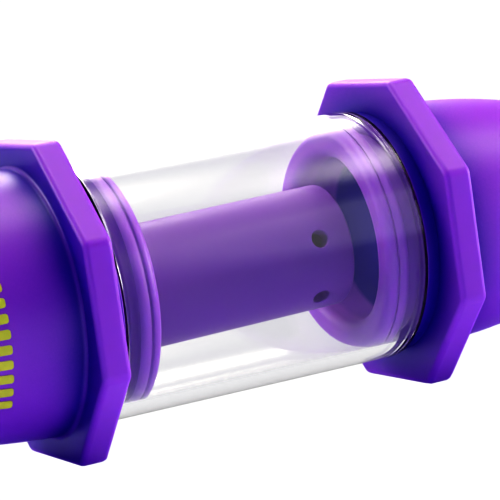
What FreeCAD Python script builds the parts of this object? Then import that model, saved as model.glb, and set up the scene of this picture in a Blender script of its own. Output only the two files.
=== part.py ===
import FreeCAD, Part
import os
from math import cos, sin, radians

# Hand-held water filter pipe: a clear glass tube held between two moulded silicone ends.
# Millimetres. +X runs along the tube from the tip end to the mouthpiece end, +Z is up.
# The pipe lies on a flat of its two octagonal flanges. The origin is under the middle of its length.
# Lengths below named _AT are distances from the middle of the glass tube, along its axis.

# Glass tube
GLASS_RADIUS = 19.0
GLASS_WALL = 2.0
GLASS_END_AT = 24.3
GLASS_EDGE = 0.5

# Octagonal flanges, the same on both ends
FLANGE_ACROSS_FLATS = 46.0
FLANGE_FRONT_AT = 26.4
FLANGE_THICK = 4.4
FLANGE_CORNER = 0.9
FLANGE_FRONT_EDGE = 1.4
FLANGE_BACK_EDGE = 0.7

# Sealing plugs, the same on both ends
FIT_CLEARANCE = 0.05
PLUG_FACE_AT = 18.2
PLUG_LIP = 1.5
PLUG_GROOVE_WIDTH = 0.5
PLUG_GROOVE_DEPTH = 0.6
PLUG_RIB = 1.5
PLUG_NECK_RADIUS = 15.4
PLUG_EDGE = 1.4
SEAT_RADIUS = 18.3

# Mouthpiece end
MOUTHPIECE_ROOT_RADIUS = 18.6
MOUTHPIECE_MID_RADIUS = 16.5
MOUTHPIECE_NECK_RADIUS = 9.3
DOME_LENGTH = 40.0
MOUTH_TUBE_RADIUS = 7.6
MOUTH_LIP_RADIUS = 8.8
MOUTH_END_AT = 86.0
MOUTH_BORE_RADIUS = 4.5
MOUTH_BORE_LENGTH = 16.0
RECESS_RADIUS = 12.6
RECESS_EDGE = 1.8
DOME_WALL = 4.2

# Tip end
BASE_ROOT_RADIUS = 19.4
BASE_MID_RADIUS = 16.8
BASE_NECK_RADIUS = 10.4
NOSE_END_AT = 76.0
NOSE_EDGE = 1.5
BASE_CAVITY_AT = 37.0
BASE_CAVITY_RADIUS = 12.6

# Stem, which stands a little off the axis: lower at the plug than at its free end
STEM_RADIUS = 9.17
STEM_WALL = 2.4
STEM_END_WALL = 2.0
STEM_END_AT = 17.0
STEM_ROOT_AT = 33.0
STEM_DROP_AT_PLUG = 1.05
STEM_DROP_AT_END = 0.25
STEM_HOLES = 5
STEM_HOLE_STEP_DEG = 60
STEM_HOLE_RADIUS = 1.3
STEM_HOLE_AT = 11.8
STEM_FIRST_HOLE_DEG = 14.7
STEM_EDGE = 0.5

# Sleeve in the nose, and the tip that pushes into it
SLEEVE_RADIUS = 7.0
SLEEVE_BORE_RADIUS = 5.05
SLEEVE_LENGTH = 21.0
TIP_SHANK_RADIUS = 4.75
TIP_SHANK_LENGTH = 19.0
TIP_COLLAR_RADIUS = 6.8
TIP_COLLAR_THICK = 3.0
TIP_ROOT_RADIUS = 4.2
TIP_POINT_RADIUS = 2.2
TIP_END_AT = 95.0
TIP_BORE_RADIUS = 1.1
RING_SECTION_RADIUS = 0.75
RING_OFFSETS = {"tip_ring_inner": 14.0, "tip_ring_outer": 5.0}

# Cap over the tip
CAP_RADIUS = 8.6
CAP_BORE_RADIUS = TIP_COLLAR_RADIUS + FIT_CLEARANCE
CAP_GAP = 0.2
CAP_END_AT = 98.0
CAP_END_WALL = 2.4
CAP_EDGE = 3.0

# Worked-out sizes
GLASS_BORE_RADIUS = GLASS_RADIUS - GLASS_WALL
PLUG_RADIUS = GLASS_BORE_RADIUS - FIT_CLEARANCE
FLANGE_BACK_AT = FLANGE_FRONT_AT + FLANGE_THICK
DOME_END_AT = FLANGE_BACK_AT + DOME_LENGTH
AXIS_HEIGHT = FLANGE_ACROSS_FLATS / 2
MIDDLE = (MOUTH_END_AT - CAP_END_AT) / 2
PLACE = FreeCAD.Vector(-MIDDLE, 0, AXIS_HEIGHT)
X_AXIS = FreeCAD.Vector(1, 0, 0)
CENTRE = FreeCAD.Vector(0, 0, 0)


def turned(*outline):
    """A solid turned about the X axis. A step is an (x, radius) point, or a pair of points: an arc through both."""
    edges = []
    start = FreeCAD.Vector(outline[0][0], outline[0][1], 0)
    first = start
    for step in outline[1:]:
        if isinstance(step[0], tuple):
            through, end = [FreeCAD.Vector(x, r, 0) for x, r in step]
            edges.append(Part.Arc(start, through, end).toShape())
        else:
            end = FreeCAD.Vector(step[0], step[1], 0)
            edges.append(Part.LineSegment(start, end).toShape())
        start = end
    edges.append(Part.LineSegment(start, first).toShape())
    return Part.Face(Part.Wire(edges)).revolve(CENTRE, X_AXIS, 360)


def rounded_corner(x, radius, edge, side_x, side_r):
    """An arc that rounds a corner at (x, radius). The solid lies towards side_x and side_r."""
    inset = edge * (1 - cos(radians(45)))
    through = (x + side_x * inset, radius + side_r * inset)
    return through


def rod(x_from, x_to, radius):
    """A plain round rod on the axis."""
    return Part.makeCylinder(radius, x_to - x_from, FreeCAD.Vector(x_from, 0, 0), X_AXIS)


def mirrored(shape):
    """The same shape on the tip end."""
    return shape.mirror(CENTRE, X_AXIS)


def octagon_flange():
    """The mouthpiece end's flange: an octagonal plate with its flats down and up, and soft edges."""
    corner = FLANGE_ACROSS_FLATS / 2 / cos(radians(22.5))
    angles = [radians(22.5 + 45 * side) for side in range(8)]
    points = [FreeCAD.Vector(FLANGE_FRONT_AT, corner * cos(a), corner * sin(a)) for a in angles]
    plate = Part.Face(Part.makePolygon(points + points[:1])).extrude(X_AXIS * FLANGE_THICK)
    along = [e for e in plate.Edges if abs(e.Length - FLANGE_THICK) < 0.01]
    plate = plate.makeFillet(FLANGE_CORNER, along)
    for x, edge in ((FLANGE_FRONT_AT, FLANGE_FRONT_EDGE), (FLANGE_BACK_AT, FLANGE_BACK_EDGE)):
        rim = [e for e in plate.Edges if abs(e.BoundBox.XMin - x) < 0.01 and abs(e.BoundBox.XMax - x) < 0.01]
        plate = plate.makeFillet(edge, rim)
    return plate


def sealing_plug():
    """The mouthpiece end's plug, solid: a rounded lip, a fine groove, a rib, a neck and the seat for the glass."""
    lip_end = PLUG_FACE_AT + PLUG_LIP
    rib_start = lip_end + PLUG_GROOVE_WIDTH
    rib_end = rib_start + PLUG_RIB
    groove = ((lip_end + PLUG_GROOVE_WIDTH / 2, PLUG_RADIUS - PLUG_GROOVE_DEPTH), (rib_start, PLUG_RADIUS))
    return turned(
        (PLUG_FACE_AT, 0),
        (PLUG_FACE_AT, PLUG_RADIUS - PLUG_EDGE),
        (rounded_corner(PLUG_FACE_AT, PLUG_RADIUS, PLUG_EDGE, 1, -1), (PLUG_FACE_AT + PLUG_EDGE, PLUG_RADIUS)),
        (lip_end, PLUG_RADIUS),
        groove,
        (rib_end, PLUG_RADIUS),
        (rib_end + 0.4, PLUG_NECK_RADIUS),
        (GLASS_END_AT, PLUG_NECK_RADIUS),
        (GLASS_END_AT, SEAT_RADIUS),
        (FLANGE_FRONT_AT + FLANGE_THICK / 2, SEAT_RADIUS),
        (FLANGE_FRONT_AT + FLANGE_THICK / 2, 0),
    )


def mouthpiece_body():
    """Flange, plug, dome and mouth tube in one moulding, hollow from the recess to the mouth."""
    dome_mid = FLANGE_BACK_AT + DOME_LENGTH / 2
    tube_start = DOME_END_AT + 3.0
    lip_start = MOUTH_END_AT - 4.0
    lip_round = (MOUTH_LIP_RADIUS - MOUTH_BORE_RADIUS) / 2
    lip_middle = MOUTH_BORE_RADIUS + lip_round
    outside = turned(
        (FLANGE_FRONT_AT + FLANGE_THICK / 2, 0),
        (FLANGE_FRONT_AT + FLANGE_THICK / 2, MOUTHPIECE_ROOT_RADIUS),
        (FLANGE_BACK_AT, MOUTHPIECE_ROOT_RADIUS),
        ((dome_mid, MOUTHPIECE_MID_RADIUS), (DOME_END_AT, MOUTHPIECE_NECK_RADIUS)),
        ((DOME_END_AT + 1.3, MOUTH_TUBE_RADIUS + 0.75), (tube_start, MOUTH_TUBE_RADIUS)),
        (lip_start - 2.0, MOUTH_TUBE_RADIUS),
        ((lip_start - 0.6, MOUTH_TUBE_RADIUS + 0.35), (MOUTH_END_AT - lip_round, MOUTH_LIP_RADIUS)),
        (rounded_corner(MOUTH_END_AT, MOUTH_LIP_RADIUS, lip_round, -1, -1), (MOUTH_END_AT, lip_middle)),
        (MOUTH_END_AT, 0),
    )
    bore_start = MOUTH_END_AT - MOUTH_BORE_LENGTH
    inside = turned(
        (PLUG_FACE_AT - 1, 0),
        (PLUG_FACE_AT - 1, RECESS_RADIUS + RECESS_EDGE),
        (PLUG_FACE_AT, RECESS_RADIUS + RECESS_EDGE),
        (rounded_corner(PLUG_FACE_AT, RECESS_RADIUS, RECESS_EDGE, 1, 1), (PLUG_FACE_AT + RECESS_EDGE, RECESS_RADIUS)),
        (FLANGE_BACK_AT, RECESS_RADIUS),
        ((dome_mid, MOUTHPIECE_MID_RADIUS - DOME_WALL), (bore_start, MOUTH_BORE_RADIUS)),
        (MOUTH_END_AT + 1, MOUTH_BORE_RADIUS),
        (MOUTH_END_AT + 1, 0),
    )
    return outside.fuse([sealing_plug(), octagon_flange()]).cut(inside).removeSplitter()


def tilted(shape):
    """Takes a shape on the axis to the stem's own slightly sloping axis."""
    span = STEM_END_AT + PLUG_FACE_AT
    rise = STEM_DROP_AT_PLUG - STEM_DROP_AT_END
    slope = FreeCAD.Rotation(X_AXIS, FreeCAD.Vector(span, 0, rise))
    pivot = FreeCAD.Vector(-PLUG_FACE_AT, 0, 0)
    placement = FreeCAD.Placement(FreeCAD.Vector(0, 0, -STEM_DROP_AT_PLUG), slope, pivot)
    return placed(shape, placement)


def placed(shape, placement):
    """A copy of a shape, moved by a placement."""
    copy = shape.copy()
    copy.Placement = placement.multiply(copy.Placement)
    return copy


def base_body():
    """Flange, plug, dome and nose in one moulding, bored for the stem and the sleeve."""
    dome_mid = FLANGE_BACK_AT + DOME_LENGTH / 2
    sleeve_start = NOSE_END_AT - SLEEVE_LENGTH
    outside = turned(
        (FLANGE_FRONT_AT + FLANGE_THICK / 2, 0),
        (FLANGE_FRONT_AT + FLANGE_THICK / 2, BASE_ROOT_RADIUS),
        (FLANGE_BACK_AT, BASE_ROOT_RADIUS),
        ((dome_mid, BASE_MID_RADIUS), (DOME_END_AT, BASE_NECK_RADIUS)),
        (NOSE_END_AT - NOSE_EDGE, BASE_NECK_RADIUS - 0.6),
        (rounded_corner(NOSE_END_AT, BASE_NECK_RADIUS - 0.6, NOSE_EDGE, -1, -1),
         (NOSE_END_AT, BASE_NECK_RADIUS - 0.6 - NOSE_EDGE)),
        (NOSE_END_AT, 0),
    )
    cavity = turned(
        (BASE_CAVITY_AT, 0),
        (BASE_CAVITY_AT, BASE_CAVITY_RADIUS),
        ((BASE_CAVITY_AT + 9, BASE_CAVITY_RADIUS - 1.6), (sleeve_start, SLEEVE_BORE_RADIUS)),
        (sleeve_start, 0),
    )
    sleeve_seat = rod(sleeve_start - 0.01, NOSE_END_AT + 1, SLEEVE_RADIUS)
    stem_seat = tilted(rod(-STEM_ROOT_AT, 0, STEM_RADIUS))
    stem_way = tilted(rod(-BASE_CAVITY_AT - 1, 0, STEM_RADIUS - STEM_WALL))
    body = mirrored(outside.fuse([sealing_plug(), octagon_flange()]).cut([cavity, sleeve_seat]))
    return body.cut([stem_seat, stem_way]).removeSplitter()


def inner_stem():
    """A soft tube, closed at its free end, with a ring of holes near that end and none on top."""
    tube = turned(
        (-STEM_ROOT_AT, 0),
        (-STEM_ROOT_AT, STEM_RADIUS),
        (STEM_END_AT - STEM_EDGE, STEM_RADIUS),
        (STEM_END_AT, STEM_RADIUS - STEM_EDGE),
        (STEM_END_AT, 0),
    )
    bore = rod(-STEM_ROOT_AT - 1, STEM_END_AT - STEM_END_WALL, STEM_RADIUS - STEM_WALL)
    holes = []
    for index in range(STEM_HOLES):
        angle = radians(STEM_FIRST_HOLE_DEG - STEM_HOLE_STEP_DEG * index)
        outward = FreeCAD.Vector(0, -cos(angle), sin(angle))
        start = FreeCAD.Vector(STEM_HOLE_AT, 0, 0)
        holes.append(Part.makeCylinder(STEM_HOLE_RADIUS, STEM_RADIUS + 1, start, outward))
    return tilted(tube.cut([bore] + holes))


def glass_tube():
    """A plain cut tube with both rims fire-polished."""
    end, bore, edge = GLASS_END_AT - FIT_CLEARANCE, GLASS_BORE_RADIUS, GLASS_EDGE
    half = turned(
        (0, bore),
        (end - edge, bore),
        (rounded_corner(end, bore, edge, -1, 1), (end, bore + edge)),
        (end, GLASS_RADIUS - edge),
        (rounded_corner(end, GLASS_RADIUS, edge, -1, -1), (end - edge, GLASS_RADIUS)),
        (0, GLASS_RADIUS),
    )
    return half.fuse(mirrored(half)).removeSplitter()


def joint_sleeve():
    """A steel sleeve pressed into the nose, flush with its face."""
    start = NOSE_END_AT - SLEEVE_LENGTH
    tube = rod(start, NOSE_END_AT, SLEEVE_RADIUS).cut(rod(start - 1, NOSE_END_AT + 1, SLEEVE_BORE_RADIUS))
    return mirrored(tube)


def ring_centre(offset):
    """Where a sealing ring sits along the shank: offset is its distance from the nose's face."""
    return NOSE_END_AT - offset


def tip():
    """A turned titanium tip: grooved shank, collar and tapered point, bored right through."""
    collar_start = NOSE_END_AT + CAP_GAP
    collar_end = collar_start + TIP_COLLAR_THICK
    solid = turned(
        (NOSE_END_AT - TIP_SHANK_LENGTH, TIP_BORE_RADIUS),
        (NOSE_END_AT - TIP_SHANK_LENGTH, TIP_SHANK_RADIUS - 0.5),
        (NOSE_END_AT - TIP_SHANK_LENGTH + 0.5, TIP_SHANK_RADIUS),
        (collar_start, TIP_SHANK_RADIUS),
        (collar_start, TIP_COLLAR_RADIUS),
        (collar_end, TIP_COLLAR_RADIUS),
        (collar_end, TIP_ROOT_RADIUS + 1.0),
        ((collar_end + 0.4, TIP_ROOT_RADIUS + 0.3), (collar_end + 1.4, TIP_ROOT_RADIUS)),
        (TIP_END_AT - 1.0, TIP_POINT_RADIUS),
        (TIP_END_AT, TIP_POINT_RADIUS - 0.6),
        (TIP_END_AT, TIP_BORE_RADIUS),
    )
    groove_floor = SLEEVE_BORE_RADIUS - FIT_CLEARANCE - 2 * RING_SECTION_RADIUS
    width = 2 * RING_SECTION_RADIUS + 0.1
    for offset in RING_OFFSETS.values():
        middle = ring_centre(offset)
        groove = rod(middle - width / 2, middle + width / 2, SLEEVE_BORE_RADIUS)
        solid = solid.cut(groove.cut(rod(middle - width, middle + width, groove_floor)))
    return mirrored(solid)


def tip_ring(offset):
    """A rubber ring in a groove of the tip's shank."""
    ring_radius = SLEEVE_BORE_RADIUS - FIT_CLEARANCE - RING_SECTION_RADIUS
    ring = Part.makeTorus(ring_radius, RING_SECTION_RADIUS, FreeCAD.Vector(ring_centre(offset), 0, 0), X_AXIS)
    return mirrored(ring)


def tip_cap():
    """A soft closed cap that grips the tip's collar."""
    start = NOSE_END_AT + CAP_GAP
    outside = turned(
        (start, 0),
        (start, CAP_RADIUS - 0.5),
        (start + 0.5, CAP_RADIUS),
        (CAP_END_AT - CAP_EDGE, CAP_RADIUS),
        (rounded_corner(CAP_END_AT, CAP_RADIUS, CAP_EDGE, -1, -1), (CAP_END_AT, CAP_RADIUS - CAP_EDGE)),
        (CAP_END_AT, 0),
    )
    bore_end = CAP_END_AT - CAP_END_WALL
    bore = turned(
        (start - 1, 0),
        (start - 1, CAP_BORE_RADIUS),
        (bore_end - 1.5, CAP_BORE_RADIUS),
        (bore_end, CAP_BORE_RADIUS - 1.5),
        (bore_end, 0),
    )
    return mirrored(outside.cut(bore))


def write(node, shape):
    """Moves a node's one solid to its place over the origin and saves it."""
    solid = shape.Solids[0].copy()
    solid.translate(PLACE)
    box = solid.BoundBox
    print(f"{node:16s} solids {len(shape.Solids)} valid {solid.isValid()} volume {solid.Volume:9.1f} mm3 "
          f"x {box.XMin:7.2f} {box.XMax:7.2f} z {box.ZMin:6.2f} {box.ZMax:6.2f}")
    solid.exportStep(f"parts/{node}.step")


os.makedirs("parts", exist_ok=True)
write("base_body", base_body())
write("inner_stem", inner_stem())
write("joint_sleeve", joint_sleeve())
write("tip", tip())
for ring_name, ring_offset in RING_OFFSETS.items():
    write(ring_name, tip_ring(ring_offset))
write("tip_cap", tip_cap())
write("glass_tube", glass_tube())
write("mouthpiece_body", mouthpiece_body())
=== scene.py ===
import bpy
from math import atan2, cos, hypot, pi, radians, sin
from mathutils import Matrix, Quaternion, Vector


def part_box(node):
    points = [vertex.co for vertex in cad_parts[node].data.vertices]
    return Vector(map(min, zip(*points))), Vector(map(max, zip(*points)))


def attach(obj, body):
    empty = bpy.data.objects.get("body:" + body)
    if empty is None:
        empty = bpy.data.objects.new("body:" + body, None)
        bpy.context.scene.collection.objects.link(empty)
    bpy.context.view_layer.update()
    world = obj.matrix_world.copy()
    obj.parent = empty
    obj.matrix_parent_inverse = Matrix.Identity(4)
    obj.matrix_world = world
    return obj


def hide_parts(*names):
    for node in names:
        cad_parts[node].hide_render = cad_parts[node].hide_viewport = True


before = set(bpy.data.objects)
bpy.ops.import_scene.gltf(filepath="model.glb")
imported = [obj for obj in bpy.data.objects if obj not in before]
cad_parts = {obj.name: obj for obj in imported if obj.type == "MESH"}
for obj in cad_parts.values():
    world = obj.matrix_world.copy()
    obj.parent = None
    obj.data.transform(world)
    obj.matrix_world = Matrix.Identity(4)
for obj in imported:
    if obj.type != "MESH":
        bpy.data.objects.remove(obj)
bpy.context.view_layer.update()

# The frame: the pipe lies along X, and its axis runs through the middle of the glass chamber.
# Every outline below is in millimetres from that middle point, and shapes are made in place, in metres.
MM = 0.001
glass_low, glass_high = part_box("glass_tube")
middle = (glass_low + glass_high) / 2


# ---- Camera ---------------------------------------------------------------------------------------
# A long lens close to the chamber, looking a little down on it from the tip end's side. The camera is rolled.
CAMERA_AZIMUTH = radians(-25.93)
CAMERA_ELEVATION = radians(7.14)
CAMERA_ROLL = radians(-8.1)
CAMERA_DISTANCE = 381.1 * MM
CAMERA_LENS = 184.7
CAMERA_AIM = Vector((4.85, 0, 1.16)) * MM

view_from = Vector((sin(CAMERA_AZIMUTH) * cos(CAMERA_ELEVATION),
                    -cos(CAMERA_AZIMUTH) * cos(CAMERA_ELEVATION),
                    sin(CAMERA_ELEVATION)))
turn_camera = view_from.to_track_quat("Z", "Y") @ Quaternion((0, 0, 1), CAMERA_ROLL)
bpy.ops.object.camera_add(location=middle + CAMERA_AIM + view_from * CAMERA_DISTANCE,
                          rotation=turn_camera.to_euler())
camera = bpy.context.active_object
camera.data.lens = CAMERA_LENS
camera.data.sensor_width = 36
camera.data.clip_start = 0.01
bpy.context.scene.camera = camera
bpy.context.scene.view_settings.view_transform = "Standard"
bpy.context.scene.view_settings.look = "Very High Contrast"


# ---- Studio ---------------------------------------------------------------------------------------
# A white table under big soft lamps: one overhead, two on the mouthpiece side, two behind and a backdrop.
# Table and surroundings show pure white to the camera and faintly in the glass, and give a blue fill. A card
# shows only in the glass, and a very weak lamp stands in for light through the mouthpiece's walls.
FLOOR_SIZE = 6.0
FILL_LIGHT = (0.03, 0.03, 0.20)
WARM = (1.0, 0.97, 0.79)
FLOOR_BOUNCE = (0.72, 0.72, 0.95)
FLOOR_GLOW = (0.055, 0.016, 0.160)
INNER_LAMP_POWER = 0.0040
INNER_LAMP_PLACE = (0.040, 0, 0)
INNER_LAMP_RADIUS = 0.005
SHOWN_WHITE = (0.625, 0.625, 0.625)
SHOWN_IN_GLASS = 0.45


def faded_edges(nodes, links):
    """Most in the middle of a rectangle, and none at its edges."""
    across = nodes.new("ShaderNodeSeparateXYZ")
    links.new(nodes.new("ShaderNodeTexCoord").outputs["UV"], across.inputs[0])
    fade = nodes.new("ShaderNodeMath")
    fade.operation = "MULTIPLY"
    for index, side in enumerate("XY"):
        hump = nodes.new("ShaderNodeMath")
        hump.operation = "PINGPONG"
        hump.inputs[1].default_value = 0.5
        links.new(across.outputs[side], hump.inputs[0])
        ease = nodes.new("ShaderNodeMapRange")
        ease.interpolation_type = "SMOOTHSTEP"
        ease.inputs["From Max"].default_value = 0.5
        ease.inputs["To Max"].default_value = 2.0
        links.new(hump.outputs[0], ease.inputs["Value"])
        links.new(ease.outputs["Result"], fade.inputs[index])
    return fade.outputs[0]


def area_lamp(name, place, size, power):
    """A big soft lamp, aimed at the chamber."""
    bpy.ops.object.light_add(type="AREA", location=middle + Vector(place),
                             rotation=Vector(place).to_track_quat("Z", "Y").to_euler())
    lamp = bpy.context.active_object.data
    lamp.name = name
    lamp.shape = "RECTANGLE"
    lamp.size, lamp.size_y = size
    lamp.energy = power
    lamp.color = WARM
    lamp.use_nodes = True
    nodes, links = lamp.node_tree.nodes, lamp.node_tree.links
    links.new(faded_edges(nodes, links), nodes["Emission"].inputs["Strength"])


area_lamp("lamp_top", (0, 0, 0.70), (0.80, 0.60), 3.2)
area_lamp("lamp_key", (0.50, -0.14, 0.55), (0.55, 0.55), 1.6)
area_lamp("lamp_right", (0.85, -0.24, 0.12), (0.50, 0.30), 4.3)
area_lamp("lamp_back", (0.15, 0.50, 0.45), (0.60, 0.40), 1.8)
area_lamp("lamp_left", (-0.50, 0.30, 0.35), (0.50, 0.40), 2.2)


def seen_white(nodes, links):
    """One for rays from the camera, straight or through glass, less for sharp reflections, none for light."""
    rays = nodes.new("ShaderNodeLightPath")
    faint = nodes.new("ShaderNodeMath")
    faint.operation = "MULTIPLY"
    links.new(rays.outputs["Is Singular Ray"], faint.inputs[0])
    faint.inputs[1].default_value = SHOWN_IN_GLASS
    seen = faint.outputs[0]
    for ray in ("Is Camera Ray", "Is Transmission Ray"):
        most = nodes.new("ShaderNodeMath")
        most.operation = "MAXIMUM"
        links.new(seen, most.inputs[0])
        links.new(rays.outputs[ray], most.inputs[1])
        seen = most.outputs[0]
    return seen


def glass_card(name, place, size, strength):
    """A soft card, aimed at the chamber, that shows only as a sharp reflection in the glass."""
    bpy.ops.mesh.primitive_plane_add(size=1, location=middle + Vector(place),
                                     rotation=Vector(place).to_track_quat("Z", "Y").to_euler())
    card = bpy.context.active_object
    card.name = name
    card.scale = (*size, 1)
    bpy.ops.object.transform_apply(location=True, rotation=True, scale=True)
    for unseen in ("camera", "diffuse", "transmission", "shadow", "volume_scatter"):
        setattr(card, "visible_" + unseen, False)
    sheen = bpy.data.materials.new(name)
    sheen.use_nodes = True
    nodes, links = sheen.node_tree.nodes, sheen.node_tree.links
    sharp = nodes.new("ShaderNodeMath")
    sharp.operation = "MULTIPLY"
    links.new(faded_edges(nodes, links), sharp.inputs[0])
    links.new(nodes.new("ShaderNodeLightPath").outputs["Is Singular Ray"], sharp.inputs[1])
    light = nodes.new("ShaderNodeEmission")
    light.inputs["Strength"].default_value = strength
    shown = nodes.new("ShaderNodeMixShader")
    links.new(sharp.outputs[0], shown.inputs["Fac"])
    links.new(nodes.new("ShaderNodeBsdfTransparent").outputs[0], shown.inputs[1])
    links.new(light.outputs[0], shown.inputs[2])
    links.new(shown.outputs[0], nodes["Material Output"].inputs["Surface"])
    card.data.materials.append(sheen)


glass_card("card_front", (0.50, -0.62, 0.24), (0.60, 0.70), 1.2)
bpy.ops.object.light_add(type="POINT", location=middle + Vector(INNER_LAMP_PLACE))
glow_inside = bpy.context.active_object
glow_inside.data.name = "lamp_inside"
glow_inside.data.energy = INNER_LAMP_POWER
glow_inside.data.shadow_soft_size = INNER_LAMP_RADIUS
for unseen in ("camera", "transmission", "glossy"):
    setattr(glow_inside, "visible_" + unseen, False)
area_lamp("lamp_backdrop", (0.30, 1.60, 0.50), (3.0, 1.6), 6.0)
bpy.context.active_object.visible_camera = False
bpy.context.active_object.visible_transmission = False

surround = bpy.data.worlds.new("surround")
bpy.context.scene.world = surround
surround.use_nodes = True
nodes, links = surround.node_tree.nodes, surround.node_tree.links
sky = nodes["Background"]
sky.inputs["Color"].default_value = (*FILL_LIGHT, 1)
white = nodes.new("ShaderNodeBackground")
white.inputs["Color"].default_value = (*SHOWN_WHITE, 1)
shown = nodes.new("ShaderNodeMixShader")
links.new(seen_white(nodes, links), shown.inputs["Fac"])
links.new(sky.outputs[0], shown.inputs[1])
links.new(white.outputs[0], shown.inputs[2])
links.new(shown.outputs[0], nodes["World Output"].inputs["Surface"])

bpy.ops.mesh.primitive_grid_add(x_subdivisions=4, y_subdivisions=4, size=FLOOR_SIZE, location=(0, 0, 0))
floor = bpy.context.active_object
floor.name = "floor"
paint = bpy.data.materials.new("floor_white")
paint.use_nodes = True
nodes, links = paint.node_tree.nodes, paint.node_tree.links
shader = nodes["Principled BSDF"]
shader.inputs["Base Color"].default_value = (*FLOOR_BOUNCE, 1)
shader.inputs["Roughness"].default_value = 0.9
shader.inputs["Specular IOR Level"].default_value = 0.0
shader.inputs["Emission Color"].default_value = (*FLOOR_GLOW, 1)
shader.inputs["Emission Strength"].default_value = 1
glow = nodes.new("ShaderNodeEmission")
glow.inputs["Color"].default_value = (*SHOWN_WHITE, 1)
seen = seen_white(nodes, links)
links.new(seen, glow.inputs["Strength"])
is_seen = nodes.new("ShaderNodeMath")
is_seen.operation = "GREATER_THAN"
is_seen.inputs[1].default_value = 0
links.new(seen, is_seen.inputs[0])
shown = nodes.new("ShaderNodeMixShader")
links.new(is_seen.outputs[0], shown.inputs["Fac"])
links.new(shader.outputs[0], shown.inputs[1])
links.new(glow.outputs[0], shown.inputs[2])
links.new(shown.outputs[0], nodes["Material Output"].inputs["Surface"])
floor.data.materials.append(paint)


# ---- Mouthpiece -----------------------------------------------------------------------------------
# The mouth end is one silicone moulding: a ribbed plug that seals in the glass, an octagonal flange that
# stops the pipe rolling, a hollow dome and a short mouth tube with a rolled lip.
MOUTH_WAY = Vector((1, 0, 0))
ROUND = 128
FLANGE_FLAT = 23.0
FLANGE_BLANK = FLANGE_FLAT * 1.12
FLANGE_FRONT = 26.4
FLANGE_BACK = 30.8
FLANGE_CORNER = 0.9
FLANGE_FRONT_EDGE = 1.4
FLANGE_BACK_EDGE = 0.7
PLUG_FACE = 18.2
PLUG_RADIUS = 16.95
PLUG_EDGE = 1.4
PLUG_LIP = 1.5
PLUG_GROOVE = 0.5
PLUG_RIB = 1.5
NECK_RADIUS = 15.4
SEAT_RADIUS = 18.3
GLASS_END = 24.25
RECESS_RADIUS = 12.6
RECESS_EDGE = 1.8
MOUTH_ROOT, MOUTH_MIDDLE, MOUTH_NECK = 18.6, 16.5, 9.3
DOME_WALL = 4.2
DOME_MIDDLE = 50.8
DOME_END = 70.8
MOUTH_TUBE = 7.6
MOUTH_BORE = 4.5
MOUTH_LIP = 8.8
MOUTH_END = 86.0
MOUTH_BORE_START = 70.0


def deselect():
    """Nothing selected, in object mode."""
    if bpy.context.object and bpy.context.object.mode != "OBJECT":
        bpy.ops.object.mode_set(mode="OBJECT")
    bpy.ops.object.select_all(action="DESELECT")


def only(piece):
    """This piece alone is selected and active."""
    deselect()
    bpy.context.view_layer.objects.active = piece
    piece.select_set(True)


def finish_with(piece, kind, **settings):
    """Adds a modifier with its settings and applies it."""
    only(piece)
    modifier = piece.modifiers.new(kind.lower(), kind)
    for setting, value in settings.items():
        setattr(modifier, setting, value)
    bpy.ops.object.modifier_apply(modifier=modifier.name)


def arc(start, through, end, steps=10):
    """Points on the circular arc from start, not included, to end, that passes through a middle point."""
    (ax, ay), (bx, by), (cx, cy) = start, through, end
    d = 2 * (ax * (by - cy) + bx * (cy - ay) + cx * (ay - by))
    a2, b2, c2 = ax * ax + ay * ay, bx * bx + by * by, cx * cx + cy * cy
    ox = (a2 * (by - cy) + b2 * (cy - ay) + c2 * (ay - by)) / d
    oy = (a2 * (cx - bx) + b2 * (ax - cx) + c2 * (bx - ax)) / d
    radius = hypot(ax - ox, ay - oy)
    first, last = atan2(ay - oy, ax - ox), atan2(cy - oy, cx - ox)
    way = 1 if (bx - ax) * (cy - ay) - (by - ay) * (cx - ax) > 0 else -1
    sweep = (last - first) * way % (2 * pi) * way
    return [(ox + radius * cos(first + sweep * k / steps), oy + radius * sin(first + sweep * k / steps))
            for k in range(1, steps + 1)]


def corner(x, r, edge, way_x, way_r, into_x, steps=5):
    """Points that round a corner of an outline. The solid lies towards way_x and way_r. The outline comes in
    along X when into_x is true, and along the radius otherwise."""
    on_x, on_r = (x + way_x * edge, r), (x, r + way_r * edge)
    inset = edge * (1 - cos(pi / 4))
    through = (x + way_x * inset, r + way_r * inset)
    start, end = (on_x, on_r) if into_x else (on_r, on_x)
    return [start] + arc(start, through, end, steps)


def turned(name, outline, facets=ROUND, centre=middle, along=MOUTH_WAY, closed=True):
    """A turned shape: an outline of (distance, radius) points, drawn by extruding a vertex and spun about an
    axis. An outline that isn't closed starts and ends on the axis."""
    across = along.cross(Vector((0, 1, 0)))
    points = [centre + (along * x + across * r) * MM for x, r in outline]
    deselect()
    bpy.ops.mesh.primitive_plane_add(size=MM, location=points[0])
    piece = bpy.context.active_object
    piece.name = piece.data.name = name
    bpy.ops.object.transform_apply(location=True, rotation=True, scale=True)
    bpy.ops.object.mode_set(mode="EDIT")
    bpy.ops.mesh.select_mode(type="VERT")
    bpy.ops.mesh.select_all(action="SELECT")
    bpy.ops.mesh.merge(type="CENTER")
    for here, there in zip(points, points[1:] + (points[:1] if closed else [])):
        bpy.ops.mesh.extrude_region_move(TRANSFORM_OT_translate={"value": there - here})
    bpy.ops.mesh.select_all(action="SELECT")
    bpy.ops.mesh.remove_doubles(threshold=0.0001 * MM)
    bpy.ops.mesh.select_all(action="SELECT")
    bpy.ops.mesh.spin(steps=facets, angle=2 * pi, center=centre, axis=along)
    bpy.ops.mesh.select_all(action="SELECT")
    bpy.ops.mesh.remove_doubles(threshold=0.001 * MM)
    bpy.ops.mesh.select_all(action="SELECT")
    bpy.ops.mesh.normals_make_consistent(inside=False)
    bpy.ops.object.mode_set(mode="OBJECT")
    return piece


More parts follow.
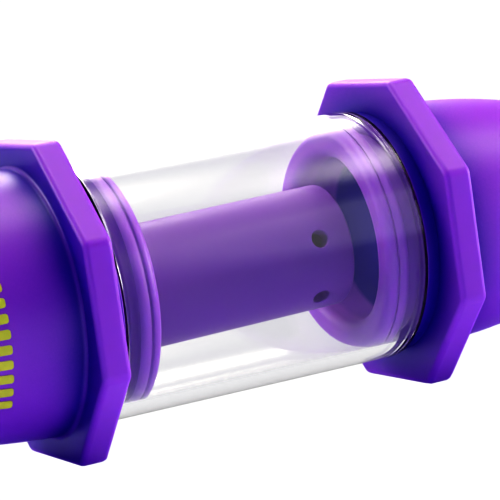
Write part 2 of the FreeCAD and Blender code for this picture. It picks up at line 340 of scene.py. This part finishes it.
def edges_where(piece, wanted, least_angle=20):
    """Selects the sharp edges of a piece whose two ends both pass a test, and stays in edit mode."""
    only(piece)
    bpy.ops.object.mode_set(mode="EDIT")
    bpy.ops.mesh.select_mode(type="EDGE")
    bpy.ops.mesh.select_all(action="DESELECT")
    bpy.ops.mesh.edges_select_sharp(sharpness=radians(least_angle))
    bpy.ops.object.mode_set(mode="OBJECT")
    for edge in piece.data.edges:
        ends = [(piece.data.vertices[v].co - middle) / MM for v in edge.vertices]
        edge.select = edge.select and wanted(*ends)
    bpy.ops.object.mode_set(mode="EDIT")


def cut_octagon(piece):
    """Cuts the eight flats of a flange that was turned round, and softens its edges."""
    only(piece)
    bpy.ops.object.mode_set(mode="EDIT")
    for side in range(8):
        outward = Vector((0, cos(side * pi / 4), sin(side * pi / 4)))
        bpy.ops.mesh.select_all(action="SELECT")
        bpy.ops.mesh.bisect(plane_co=middle + outward * FLANGE_FLAT * MM, plane_no=outward,
                            use_fill=True, clear_outer=True)
    bpy.ops.object.mode_set(mode="OBJECT")
    on_rim = FLANGE_FLAT - 0.01

    def softened(is_wanted, size, steps):
        edges_where(piece, lambda a, b: min(hypot(a.y, a.z), hypot(b.y, b.z)) > on_rim and is_wanted(a, b))
        bpy.ops.mesh.bevel(offset=size * MM, segments=steps, profile=0.5)
        bpy.ops.object.mode_set(mode="OBJECT")

    def both_at(a, b, x):
        return max(abs(abs(a.x) - x), abs(abs(b.x) - x)) < 0.01

    softened(lambda a, b: abs(a.x - b.x) > 0.5, FLANGE_CORNER, 4)
    softened(lambda a, b: both_at(a, b, FLANGE_FRONT), FLANGE_FRONT_EDGE, 6)
    softened(lambda a, b: both_at(a, b, FLANGE_BACK), FLANGE_BACK_EDGE, 4)


def smooth(piece, angle=35):
    """Smooth shading up to an angle, with big faces keeping flat."""
    only(piece)
    bpy.ops.object.shade_smooth_by_angle(angle=radians(angle), keep_sharp_edges=False)
    finish_with(piece, "WEIGHTED_NORMAL", keep_sharp=True)


def plug_outline():
    """The plug from its face to the flange: a rounded lip, a fine groove, a round rib, a neck and a seat."""
    lip_end = PLUG_FACE + PLUG_LIP
    groove_end = lip_end + PLUG_GROOVE
    rib_end = groove_end + PLUG_RIB
    outline = corner(PLUG_FACE, PLUG_RADIUS, PLUG_EDGE, 1, -1, False, 8)
    outline += arc(outline[-1], (lip_end, PLUG_RADIUS - 0.05), (lip_end + 0.1, PLUG_RADIUS - 0.15), 3)
    outline += arc(outline[-1], (lip_end + PLUG_GROOVE / 2, PLUG_RADIUS - 0.4),
                   (groove_end - 0.1, PLUG_RADIUS - 0.15), 4)
    outline += arc(outline[-1], (groove_end + 0.7, PLUG_RADIUS), (rib_end, PLUG_RADIUS - 0.3), 6)
    outline += arc(outline[-1], (rib_end + 0.2, PLUG_RADIUS - 0.9), (rib_end + 0.9, NECK_RADIUS), 5)
    outline += [(GLASS_END + 0.05, NECK_RADIUS)]
    outline += corner(GLASS_END + 0.05, SEAT_RADIUS, 0.3, 1, -1, False, 3)
    outline += [(FLANGE_FRONT, SEAT_RADIUS), (FLANGE_FRONT, FLANGE_BLANK), (FLANGE_BACK, FLANGE_BLANK)]
    return outline


def dome_outline(root, mid, end):
    """A dome's outside, from a small fillet at the back of the flange to its narrow end."""
    outline = [(FLANGE_BACK, root + 0.7)]
    outline += arc(outline[-1], (FLANGE_BACK + 0.2, root + 0.2), (FLANGE_BACK + 0.7, root), 4)
    return outline + arc(outline[-1], (DOME_MIDDLE, mid), (DOME_END, end), 30)


mouthpiece_outline = plug_outline() + dome_outline(MOUTH_ROOT, MOUTH_MIDDLE, MOUTH_NECK)
mouthpiece_outline += arc((DOME_END, MOUTH_NECK), (DOME_END + 1.3, MOUTH_TUBE + 0.75),
                          (DOME_END + 3.0, MOUTH_TUBE), 6)
mouthpiece_outline += [(DOME_END + 6.0, MOUTH_TUBE), (MOUTH_END - 6.0, MOUTH_TUBE)]
mouthpiece_outline += arc(mouthpiece_outline[-1], (MOUTH_END - 4.6, MOUTH_TUBE + 0.35),
                          (MOUTH_END - 2.15, MOUTH_LIP), 6)
mouthpiece_outline += arc(mouthpiece_outline[-1], (MOUTH_END, (MOUTH_LIP + MOUTH_BORE) / 2),
                          (MOUTH_END - 1.4, MOUTH_BORE + 0.01), 14)
mouthpiece_outline += [(MOUTH_BORE_START + 6.0, MOUTH_BORE), (MOUTH_BORE_START, MOUTH_BORE)]
mouthpiece_outline += arc(mouthpiece_outline[-1], (DOME_MIDDLE, MOUTH_MIDDLE - DOME_WALL),
                          (FLANGE_BACK, RECESS_RADIUS), 24)
mouthpiece_outline += corner(PLUG_FACE, RECESS_RADIUS, RECESS_EDGE, 1, 1, True, 8)
mouthpiece = turned("mouthpiece", mouthpiece_outline)
cut_octagon(mouthpiece)
smooth(mouthpiece)


def noise(nodes, links, scale, detail=3, stretch=None):
    """A noise on the piece's own coordinates, which may be stretched along an axis. Gives its grey output."""
    place = nodes.new("ShaderNodeTexCoord").outputs["Object"]
    if stretch:
        mapping = nodes.new("ShaderNodeMapping")
        mapping.inputs["Scale"].default_value = stretch
        links.new(place, mapping.inputs["Vector"])
        place = mapping.outputs[0]
    texture = nodes.new("ShaderNodeTexNoise")
    texture.inputs["Scale"].default_value = scale
    texture.inputs["Detail"].default_value = detail
    links.new(place, texture.inputs["Vector"])
    return texture.outputs["Fac"]


def between(nodes, links, value, low, high, from_low=0.0, from_high=1.0):
    """Takes a value from one range to another."""
    ranged = nodes.new("ShaderNodeMapRange")
    ranged.inputs["From Min"].default_value = from_low
    ranged.inputs["From Max"].default_value = from_high
    ranged.inputs["To Min"].default_value = low
    ranged.inputs["To Max"].default_value = high
    links.new(value, ranged.inputs["Value"])
    return ranged.outputs["Result"]


def blended(nodes, links, value, low, high):
    """A colour that goes from low to high with a value. Each end is a colour or another colour output."""
    mix = nodes.new("ShaderNodeMix")
    mix.data_type = "RGBA"
    links.new(value, mix.inputs["Factor"])
    for end, colour in (("A", low), ("B", high)):
        socket = [s for s in mix.inputs if s.name == end and s.type == "RGBA"][0]
        if isinstance(colour, tuple):
            socket.default_value = (*colour, 1)
        else:
            links.new(colour, socket)
    return [s for s in mix.outputs if s.type == "RGBA"][0]


def bumped(nodes, links, height, strength, distance, shader):
    """A fine relief on the shader's surface."""
    bump = nodes.new("ShaderNodeBump")
    bump.inputs["Strength"].default_value = strength
    bump.inputs["Distance"].default_value = distance * MM
    links.new(height, bump.inputs["Height"])
    links.new(bump.outputs["Normal"], shader.inputs["Normal"])


def new_material(name):
    """A new material with its nodes, links and main shader."""
    material = bpy.data.materials.new(name)
    material.use_nodes = True
    nodes, links = material.node_tree.nodes, material.node_tree.links
    return material, nodes, links, nodes["Principled BSDF"]


def silicone(name, colour, painted_shade, inner, subsurface, gloss=0.5):
    """Satin moulded silicone with painted light and shade. Painted shade turns its saturated colour towards a
    darker blue where ambient occlusion finds the shape closing in on itself, and painted light gives a paler
    colour to the plugs under the glass. It also has a soft glow under the surface, a faint cloudiness in the
    pigment and a fine mould grain."""
    material, nodes, links, shader = new_material(name)
    cloud = noise(nodes, links, 90)
    tone = blended(nodes, links, cloud, tuple(c * 0.92 for c in colour), tuple(c * 1.08 for c in colour))
    # Painted shade: ambient occlusion from the piece itself, within the reach, mixes the colour towards the
    # darker painted-shade colour.
    closed = nodes.new("ShaderNodeAmbientOcclusion")
    closed.inputs["Distance"].default_value = PAINTED_SHADE_REACH * MM
    closed.only_local = True
    closed.samples = 8
    openness = between(nodes, links, closed.outputs["AO"], 0, 1, PAINTED_SHADE_CLOSED, PAINTED_SHADE_OPEN)
    place = nodes.new("ShaderNodeMapping")
    place.inputs["Location"].default_value = -middle
    links.new(nodes.new("ShaderNodeTexCoord").outputs["Object"], place.inputs["Vector"])
    flattened = nodes.new("ShaderNodeVectorMath")
    flattened.operation = "MULTIPLY"
    flattened.inputs[1].default_value = (0, 1, 1)
    links.new(place.outputs[0], flattened.inputs[0])
    reach = nodes.new("ShaderNodeVectorMath")
    reach.operation = "LENGTH"
    links.new(flattened.outputs[0], reach.inputs[0])
    # Painted light: inside the plug's radius, under the glass, the colour turns to the paler painted-light
    # colour, and the painted shade is left off there.
    inside = between(nodes, links, reach.outputs["Value"], 1, 0,
                     INSIDE_RADIUS * MM, (INSIDE_RADIUS + 0.3) * MM)
    split = nodes.new("ShaderNodeSeparateXYZ")
    links.new(place.outputs[0], split.inputs[0])
    along = nodes.new("ShaderNodeMath")
    along.operation = "ABSOLUTE"
    links.new(split.outputs["X"], along.inputs[0])
    # The painted light weakens on the neck past the lip, so painted shade shows there in part, and the
    # painted light is gone at the flange's front.
    for least, start, end in ((NECK_PAINTED_LIGHT, LIP_END, LIP_END + 1.0), (0, FLANGE_FRONT - 0.8, FLANGE_FRONT)):
        both = nodes.new("ShaderNodeMath")
        both.operation = "MULTIPLY"
        links.new(inside, both.inputs[0])
        links.new(between(nodes, links, along.outputs[0], 1, least, start * MM, end * MM), both.inputs[1])
        inside = both.outputs[0]
    # The painted shade is mixed in first, then the painted light over it.
    outer = blended(nodes, links, openness, painted_shade, tone)
    links.new(blended(nodes, links, inside, outer, inner), shader.inputs["Base Color"])
    links.new(between(nodes, links, cloud, 0.36, 0.48), shader.inputs["Roughness"])
    bumped(nodes, links, noise(nodes, links, 2600, 4), 0.06, 0.05, shader)
    shader.inputs["Subsurface Weight"].default_value = subsurface
    shader.inputs["Subsurface Radius"].default_value = (0.5, 0.12, 1.0)
    shader.inputs["Subsurface Scale"].default_value = 3.5 * MM
    shader.inputs["IOR"].default_value = 1.42
    shader.inputs["Specular IOR Level"].default_value = gloss
    return material


# Painted shade: how far the ambient occlusion looks, and the range over which it darkens the silicone.
PAINTED_SHADE_REACH = 26.0
PAINTED_SHADE_CLOSED, PAINTED_SHADE_OPEN = 0.72, 0.99
# Painted light: the radius under the glass and the lip's end where the paler colour starts to weaken, and how
# much of it stays on the neck.
INSIDE_RADIUS = 17.5
LIP_END = 21.0
NECK_PAINTED_LIGHT = 0.68
# The silicone's own colour, its darker painted-shade colour and its paler painted-light colour.
VIOLET = (0.270, 0.052, 0.480)
VIOLET_PAINTED_SHADE = (0.020, 0.001, 0.260)
VIOLET_PAINTED_LIGHT = (0.300, 0.090, 0.500)
violet = silicone("violet_silicone", VIOLET, VIOLET_PAINTED_SHADE, VIOLET_PAINTED_LIGHT, 0.35)
mouthpiece.data.materials.append(violet)
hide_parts("mouthpiece_body")
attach(mouthpiece, "mouthpiece")


# ---- Base -----------------------------------------------------------------------------------------
# The tip end is the matching moulding: the same plug and flange, bored for the stem, and a dome that
# narrows to a nose round the steel sleeve. The stem's seat slopes a little, so it is cut after the turning.
TIP_WAY = Vector((-1, 0, 0))
BASE_ROOT, BASE_MID, BASE_END = 19.4, 16.8, 10.4
NOSE_END = 76.0
NOSE_RADIUS = 9.8
SLEEVE_RADIUS = 7.0
SLEEVE_BORE = 5.05
SLEEVE_START = 55.0
CAVITY_START = 37.0
CAVITY_RADIUS = 12.6
PILOT_BORE = 5.0
STEM_RADIUS = 9.17
STEM_WALL = 2.4
STEM_END = 17.0
STEM_ROOT = 33.0
STEM_DROP_AT_PLUG = 1.05
STEM_DROP_AT_END = 0.25
SEAT_CLEARANCE = 0.03


def cut_with(piece, tool, operation="DIFFERENCE"):
    """Cuts a piece with a tool, or keeps what they share, and puts the tool away."""
    finish_with(piece, "BOOLEAN", object=tool, operation=operation, solver="EXACT")
    bpy.data.objects.remove(tool)


slope = (STEM_DROP_AT_PLUG - STEM_DROP_AT_END) / (STEM_END + PLUG_FACE)
stem_way = Vector((1, 0, slope)).normalized()
stem_middle = middle - Vector((0, 0, STEM_DROP_AT_END + STEM_END * slope)) * MM

base_outline = plug_outline() + dome_outline(BASE_ROOT, BASE_MID, BASE_END)
base_outline += [(73.0, 10.1)]
base_outline += corner(NOSE_END, NOSE_RADIUS, 1.5, -1, -1, True, 6)
base_outline += [(NOSE_END, SLEEVE_RADIUS), (SLEEVE_START, SLEEVE_RADIUS), (SLEEVE_START, SLEEVE_BORE)]
base_outline += arc((SLEEVE_START, SLEEVE_BORE), (46.0, 11.0), (CAVITY_START, CAVITY_RADIUS), 12)
base_outline += [(CAVITY_START, PILOT_BORE), (PLUG_FACE, PILOT_BORE)]
base = turned("base", base_outline, along=TIP_WAY)
cut_octagon(base)
seat = STEM_RADIUS + SEAT_CLEARANCE
cut_with(base, turned("seat_cutter", [(-STEM_ROOT, 0), (-STEM_ROOT, seat), (-PLUG_FACE - 0.3, seat)]
                      + arc((-PLUG_FACE - 0.3, seat), (-PLUG_FACE - 0.1, seat + 0.15),
                            (-PLUG_FACE, seat + 0.45), 3)
                      + [(-PLUG_FACE + 4, seat + 0.45), (-PLUG_FACE + 4, 0)],
                      centre=stem_middle, along=stem_way, closed=False))
way_radius = STEM_RADIUS - STEM_WALL
cut_with(base, turned("way_cutter", [(-CAVITY_START - 2, 0), (-CAVITY_START - 2, way_radius),
                                     (-STEM_ROOT + 1, way_radius), (-STEM_ROOT + 1, 0)],
                      centre=stem_middle, along=stem_way, closed=False))
smooth(base)
base.data.materials.append(violet)
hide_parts("base_body")
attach(base, "base")


# ---- Inner stem -----------------------------------------------------------------------------------
# A soft silicone tube, closed at its free end, that carries the draw into the chamber. It is pushed into the
# base and lets out through a ring of punched holes near its end, with none on top.
STEM_FACETS = 192
STEM_END_WALL = 2.0
STEM_HOLES = 5
STEM_HOLE_STEP = 60
STEM_HOLE_RADIUS = 1.3
HOLE_FACETS = 40
STEM_HOLE_AT = 11.8
STEM_FIRST_HOLE = 14.7

stem_bore = STEM_RADIUS - STEM_WALL
stem_outline = [(STEM_END, 0)] + corner(STEM_END, STEM_RADIUS, 0.5, -1, -1, False)
stem_outline += [(STEM_HOLE_AT + 2, STEM_RADIUS), (STEM_HOLE_AT - 2, STEM_RADIUS), (-10, STEM_RADIUS)]
stem_outline += corner(-STEM_ROOT, STEM_RADIUS, 0.3, 1, -1, True, 3)
stem_outline += [(-STEM_ROOT, stem_bore), (STEM_HOLE_AT - 2, stem_bore)]
stem_outline += corner(STEM_END - STEM_END_WALL, stem_bore, 0.8, -1, -1, True, 4)
stem_outline += [(STEM_END - STEM_END_WALL, 0)]
stem = turned("inner_stem_tube", stem_outline, STEM_FACETS, stem_middle, stem_way, closed=False)
stem_turn = MOUTH_WAY.rotation_difference(stem_way)
for index in range(STEM_HOLES):
    angle = radians(STEM_FIRST_HOLE - STEM_HOLE_STEP * index)
    outward = stem_turn @ Vector((0, -cos(angle), sin(angle)))
    deselect()
    bpy.ops.mesh.primitive_cylinder_add(vertices=HOLE_FACETS, radius=STEM_HOLE_RADIUS * MM, depth=4 * MM,
                                        location=stem_middle + (stem_way * STEM_HOLE_AT + outward * 7.0) * MM,
                                        rotation=outward.to_track_quat("Z", "Y").to_euler())
    punch = bpy.context.active_object
    bpy.ops.object.transform_apply(location=True, rotation=True, scale=True)
    bpy.ops.object.mode_set(mode="EDIT")
    bpy.ops.mesh.select_mode(type="FACE")
    bpy.ops.mesh.select_all(action="DESELECT")
    bpy.ops.object.mode_set(mode="OBJECT")
    for face in punch.data.polygons:
        face.select = face.normal.dot(outward) > 0.9
    bpy.ops.object.mode_set(mode="EDIT")
    flare = outward * 0.5 * MM
    bpy.ops.mesh.extrude_region_move(TRANSFORM_OT_translate={"value": flare})
    bpy.ops.transform.resize(value=(1.4, 1.4, 1.4),
                             center_override=stem_middle + (stem_way * STEM_HOLE_AT + outward * 9.5) * MM)
    bpy.ops.object.mode_set(mode="OBJECT")
    cut_with(stem, punch)
smooth(stem)
STEM_VIOLET = (0.190, 0.064, 0.345)
# The stem is given its own colour for painted shade and painted light too, so neither shows on it.
stem.data.materials.append(silicone("stem_silicone", STEM_VIOLET, STEM_VIOLET, STEM_VIOLET, 0.2, 0.3))
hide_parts("inner_stem")
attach(stem, "base")


# ---- Glass chamber --------------------------------------------------------------------------------
# A cut length of clear borosilicate tube with both rims fire-polished.
GLASS_FACETS = 192
GLASS_RADIUS = 19.0
GLASS_BORE = 17.0
RIM_EDGE = 0.5

glass_outline = corner(-GLASS_END, GLASS_BORE, RIM_EDGE, 1, 1, True)
glass_outline += corner(-GLASS_END, GLASS_RADIUS, RIM_EDGE, 1, -1, False)
glass_outline += corner(GLASS_END, GLASS_RADIUS, RIM_EDGE, -1, -1, True)
glass_outline += corner(GLASS_END, GLASS_BORE, RIM_EDGE, -1, 1, False)
chamber = turned("glass_chamber", glass_outline, GLASS_FACETS)
smooth(chamber)


def clear_glass(name):
    """Clear glass that lets lamp light through to what it holds."""
    material, nodes, links, shader = new_material(name)
    shader.inputs["Base Color"].default_value = (0.890, 0.887, 0.900, 1)
    shader.inputs["Transmission Weight"].default_value = 1
    shader.inputs["Roughness"].default_value = 0.0
    shader.inputs["IOR"].default_value = 1.47
    rays = nodes.new("ShaderNodeLightPath")
    either = nodes.new("ShaderNodeMath")
    either.operation = "MAXIMUM"
    links.new(rays.outputs["Is Shadow Ray"], either.inputs[0])
    links.new(rays.outputs["Is Diffuse Ray"], either.inputs[1])
    window = nodes.new("ShaderNodeBsdfTransparent")
    mix = nodes.new("ShaderNodeMixShader")
    links.new(either.outputs[0], mix.inputs["Fac"])
    links.new(shader.outputs[0], mix.inputs[1])
    links.new(window.outputs[0], mix.inputs[2])
    links.new(mix.outputs[0], nodes["Material Output"].inputs["Surface"])
    return material


chamber.data.materials.append(clear_glass("clear_glass"))
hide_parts("glass_tube")
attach(chamber, "chamber")


# ---- Printed band ---------------------------------------------------------------------------------
# A row of plain tick marks round the base's dome, screen-printed in a thick lime ink that stands a little
# proud of the silicone. It is a thin turned skin, and only what lies under the stencil's openings is kept.
INK_PROUD = 0.07
INK_DEEP = 0.15
MARK_EDGE = 41.3
MARKS = 9
FIRST_MARK = 17.2
MARK_SPACING = -6.7
MARK_WIDTH = 1.35
MARK_LONG, MARK_SHORT = 5.8, 3.8


def stencil(degrees, length):
    """One opening of the stencil, as a prism through the dome: degrees up from level, length in mm."""
    angle = radians(degrees)
    outward = Vector((0, -cos(angle), sin(angle)))
    place = middle + (TIP_WAY * (MARK_EDGE + length / 2) + outward * 15) * MM
    deselect()
    bpy.ops.mesh.primitive_plane_add(size=MM, location=place, rotation=(pi / 2 - angle, 0, 0))
    opening = bpy.context.active_object
    opening.scale = (length, MARK_WIDTH, 1)
    bpy.ops.object.transform_apply(location=True, rotation=True, scale=True)
    bpy.ops.object.mode_set(mode="EDIT")
    bpy.ops.mesh.select_all(action="SELECT")
    bpy.ops.mesh.bevel(offset=MARK_WIDTH * 0.3 * MM, segments=5, affect="VERTICES")
    bpy.ops.mesh.select_all(action="SELECT")
    bpy.ops.mesh.extrude_region_move(TRANSFORM_OT_translate={"value": outward * 8 * MM})
    bpy.ops.mesh.select_all(action="SELECT")
    bpy.ops.mesh.normals_make_consistent(inside=False)
    bpy.ops.object.mode_set(mode="OBJECT")
    return opening


openings = [stencil(FIRST_MARK + MARK_SPACING * k, MARK_SHORT if k % 2 else MARK_LONG) for k in range(MARKS)]
for opening in openings:
    opening.select_set(True)
bpy.ops.object.join()
under_ink = [(x, r) for x, r in dome_outline(BASE_ROOT, BASE_MID, BASE_END) if 39 < x < 50]
print_band = turned("print_band", [(x, r + INK_PROUD) for x, r in under_ink]
                    + [(x, r - INK_DEEP) for x, r in reversed(under_ink)], along=TIP_WAY)
cut_with(print_band, openings[-1], "INTERSECT")
smooth(print_band)


def ink(name, colour):
    """Thick matt screen ink, a little uneven in tone and with a fine dry grain."""
    material, nodes, links, shader = new_material(name)
    patchy = noise(nodes, links, 700, 4)
    links.new(blended(nodes, links, patchy, tuple(c * 0.82 for c in colour), tuple(c * 1.12 for c in colour)),
              shader.inputs["Base Color"])
    links.new(between(nodes, links, patchy, 0.45, 0.62), shader.inputs["Roughness"])
    bumped(nodes, links, noise(nodes, links, 3000, 3), 0.15, 0.03, shader)
    shader.inputs["IOR"].default_value = 1.45
    return material


print_band.data.materials.append(ink("yellow_print", (0.560, 0.640, 0.035)))
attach(print_band, "base")


# ---- Steel sleeve ---------------------------------------------------------------------------------
# A stainless tube, turned and parted off on a lathe, with both ends chamfered. It is pressed into the nose,
# flush with its face, and the tip's rings seal against its reamed bore.
sleeve_outline = corner(SLEEVE_START, SLEEVE_BORE, 0.3, 1, 1, True, 3)
sleeve_outline += corner(SLEEVE_START, SLEEVE_RADIUS, 0.3, 1, -1, False, 3)
sleeve_outline += corner(NOSE_END, SLEEVE_RADIUS, 0.2, -1, -1, True, 3)
sleeve_outline += corner(NOSE_END, SLEEVE_BORE, 0.5, -1, 1, False, 4)
sleeve = turned("steel_sleeve", sleeve_outline, along=TIP_WAY)
smooth(sleeve)


def lathe_metal(name, colour, rough, tint=None):
    """Turned metal: fine tool lines round the axis in its relief and gloss, faint blotches in its tone, and,
    where a tint is given as (start, end, colours), the colours that heat leaves along the axis."""
    material, nodes, links, shader = new_material(name)
    lines = noise(nodes, links, 1, 6, (9000, 60, 60))
    blotches = noise(nodes, links, 240, 3)
    tone = blended(nodes, links, blotches, tuple(c * 0.85 for c in colour), tuple(c * 1.08 for c in colour))
    if tint:
        start, end, colours = tint
        place = nodes.new("ShaderNodeSeparateXYZ")
        links.new(nodes.new("ShaderNodeTexCoord").outputs["Object"], place.inputs[0])
        along = between(nodes, links, place.outputs["X"], 0, 1, start, end)
        ramp = nodes.new("ShaderNodeValToRGB")
        links.new(along, ramp.inputs["Fac"])
        while len(ramp.color_ramp.elements) < len(colours):
            ramp.color_ramp.elements.new(0.5)
        for index, tinted in enumerate(colours):
            ramp.color_ramp.elements[index].position = index / (len(colours) - 1)
            ramp.color_ramp.elements[index].color = (*tinted, 1)
        film = nodes.new("ShaderNodeMix")
        film.data_type = "RGBA"
        film.blend_type = "MULTIPLY"
        film.inputs["Factor"].default_value = 1
        a, b = [s for s in film.inputs if s.type == "RGBA"]
        links.new(tone, a)
        links.new(ramp.outputs["Color"], b)
        tone = [s for s in film.outputs if s.type == "RGBA"][0]
    links.new(tone, shader.inputs["Base Color"])
    links.new(between(nodes, links, lines, rough - 0.08, rough + 0.10), shader.inputs["Roughness"])
    bumped(nodes, links, lines, 0.25, 0.02, shader)
    shader.inputs["Metallic"].default_value = 1
    return material


sleeve.data.materials.append(lathe_metal("steel", (0.620, 0.620, 0.640), 0.26))
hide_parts("joint_sleeve")
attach(sleeve, "base")


# ---- Tip ------------------------------------------------------------------------------------------
# A titanium tip turned from one bar: a shank with two ring grooves, a collar that stops it on the nose, and a
# tapered point, bored right through. Use has left straw and blue heat colours at its point.
COLLAR_START = NOSE_END + 0.2
COLLAR_END = COLLAR_START + 3.0
COLLAR_RADIUS = 6.8
SHANK_START = 57.0
SHANK_RADIUS = 4.75
POINT_END = 95.0
POINT_RADIUS = 2.2
TIP_BORE = 1.1
TAPER_ROOT = 4.2
RING_RADIUS = 0.75
RINGS = {"tip_ring_inner": NOSE_END - 14.0, "tip_ring_outer": NOSE_END - 5.0}
GROOVE_FLOOR = SLEEVE_BORE - 0.05 - 2 * RING_RADIUS
GROOVE_WIDTH = 2 * RING_RADIUS + 0.1

tip_outline = corner(SHANK_START, SHANK_RADIUS, 0.5, 1, -1, False, 3)
for ring_middle in RINGS.values():
    groove_start, groove_end = ring_middle - GROOVE_WIDTH / 2, ring_middle + GROOVE_WIDTH / 2
    tip_outline += corner(groove_start, SHANK_RADIUS, 0.12, -1, -1, True, 2)
    tip_outline += corner(groove_start, GROOVE_FLOOR, 0.15, 1, 1, False, 3)
    tip_outline += corner(groove_end, GROOVE_FLOOR, 0.15, -1, 1, True, 3)
    tip_outline += corner(groove_end, SHANK_RADIUS, 0.12, 1, -1, False, 2)
tip_outline += [(COLLAR_START, SHANK_RADIUS)]
tip_outline += corner(COLLAR_START, COLLAR_RADIUS, 0.35, 1, -1, False, 3)
for line in (COLLAR_START + 1.1, COLLAR_START + 1.9):
    tip_outline += [(line - 0.12, COLLAR_RADIUS), (line - 0.03, COLLAR_RADIUS - 0.14),
                    (line + 0.03, COLLAR_RADIUS - 0.14), (line + 0.12, COLLAR_RADIUS)]
tip_outline += corner(COLLAR_END, COLLAR_RADIUS, 0.35, -1, -1, True, 3)
tip_outline += [(COLLAR_END, TAPER_ROOT + 1.0)]
tip_outline += arc(tip_outline[-1], (COLLAR_END + 0.4, TAPER_ROOT + 0.3), (COLLAR_END + 1.4, TAPER_ROOT), 6)
tip_outline += [(POINT_END - 1.0, POINT_RADIUS)]
tip_outline += arc(tip_outline[-1], (POINT_END - 0.25, POINT_RADIUS - 0.2),
                   (POINT_END, POINT_RADIUS - 0.7), 5)
tip_outline += corner(POINT_END, TIP_BORE, 0.2, -1, 1, False, 3)
tip_outline += corner(SHANK_START, TIP_BORE, 0.3, 1, 1, True, 3)
tip_piece = turned("titanium_tip", tip_outline, along=TIP_WAY)
smooth(tip_piece)
heat_from, heat_to = [middle.x - at * MM for at in (COLLAR_END + 4.0, POINT_END)]
heat = ((1, 1, 1), (1, 0.86, 0.60), (0.86, 0.58, 0.50), (0.48, 0.38, 0.72), (0.34, 0.50, 0.90))
titanium = lathe_metal("titanium", (0.500, 0.485, 0.470), 0.30, (heat_from, heat_to, heat))
tip_piece.data.materials.append(titanium)
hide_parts("tip")
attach(tip_piece, "tip")


# ---- Tip rings ------------------------------------------------------------------------------------
# Two moulded rubber rings in the shank's grooves hold the tip in the sleeve. Each has the faint flash line of
# its two-part mould round its inside and its outside.
RING_SECTION_POINTS = 24
FLASH = 0.02


def rubber(name):
    """Black rubber, matt, with a fine dusty bloom."""
    material, nodes, links, shader = new_material(name)
    bloom = noise(nodes, links, 900, 5)
    tone = blended(nodes, links, bloom, (0.012, 0.012, 0.013), (0.045, 0.045, 0.048))
    links.new(tone, shader.inputs["Base Color"])
    links.new(between(nodes, links, bloom, 0.50, 0.68), shader.inputs["Roughness"])
    bumped(nodes, links, noise(nodes, links, 5000, 3), 0.12, 0.03, shader)
    return material


black_rubber = rubber("black_rubber")
for ring_name, ring_middle in RINGS.items():
    section = []
    for step in range(RING_SECTION_POINTS):
        angle = 2 * pi * step / RING_SECTION_POINTS
        reach = RING_RADIUS + (FLASH if step % (RING_SECTION_POINTS // 2) == 0 else 0)
        section.append((ring_middle + reach * sin(angle), GROOVE_FLOOR + RING_RADIUS + reach * cos(angle)))
    ring = turned(ring_name + "_seal", section, along=TIP_WAY)
    smooth(ring, 60)
    ring.data.materials.append(black_rubber)
    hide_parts(ring_name)
    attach(ring, "tip")


# ---- Tip cap --------------------------------------------------------------------------------------
# A soft silicone cap, moulded closed at one end, that stretches over the tip's collar and covers the point.
# Three rounded grooves round it give the fingers something to pull on.
CAP_RADIUS = 8.6
CAP_BORE = COLLAR_RADIUS + 0.05
CAP_END = 98.0
CAP_END_WALL = 2.4
CAP_END_EDGE = 3.0
GRIPS = 3
GRIP_SPACING = 3.0
GRIP_RADIUS = 0.6

cap_outline = [(CAP_END, 0)] + corner(CAP_END, CAP_RADIUS, CAP_END_EDGE, -1, -1, False, 10)
for index in reversed(range(GRIPS)):
    grip = COLLAR_START + 5 + GRIP_SPACING * index
    cap_outline += arc((grip + 0.85, CAP_RADIUS), (grip + 0.68, CAP_RADIUS - 0.05),
                       (grip + 0.56, CAP_RADIUS - 0.2), 3)
    cap_outline += arc(cap_outline[-1], (grip, CAP_RADIUS - GRIP_RADIUS), (grip - 0.56, CAP_RADIUS - 0.2), 8)
    cap_outline += arc(cap_outline[-1], (grip - 0.68, CAP_RADIUS - 0.05), (grip - 0.85, CAP_RADIUS), 3)
cap_outline += corner(COLLAR_START, CAP_RADIUS, 0.5, 1, -1, True, 4)
cap_outline += corner(COLLAR_START, CAP_BORE, 0.3, 1, 1, False, 3)
cap_outline += corner(CAP_END - CAP_END_WALL, CAP_BORE, 1.5, -1, -1, True, 4) + [(CAP_END - CAP_END_WALL, 0)]
cap = turned("tip_cap_cover", cap_outline, along=TIP_WAY, closed=False)
smooth(cap)
cap.data.materials.append(violet)
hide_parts("tip_cap")
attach(cap, "cap")
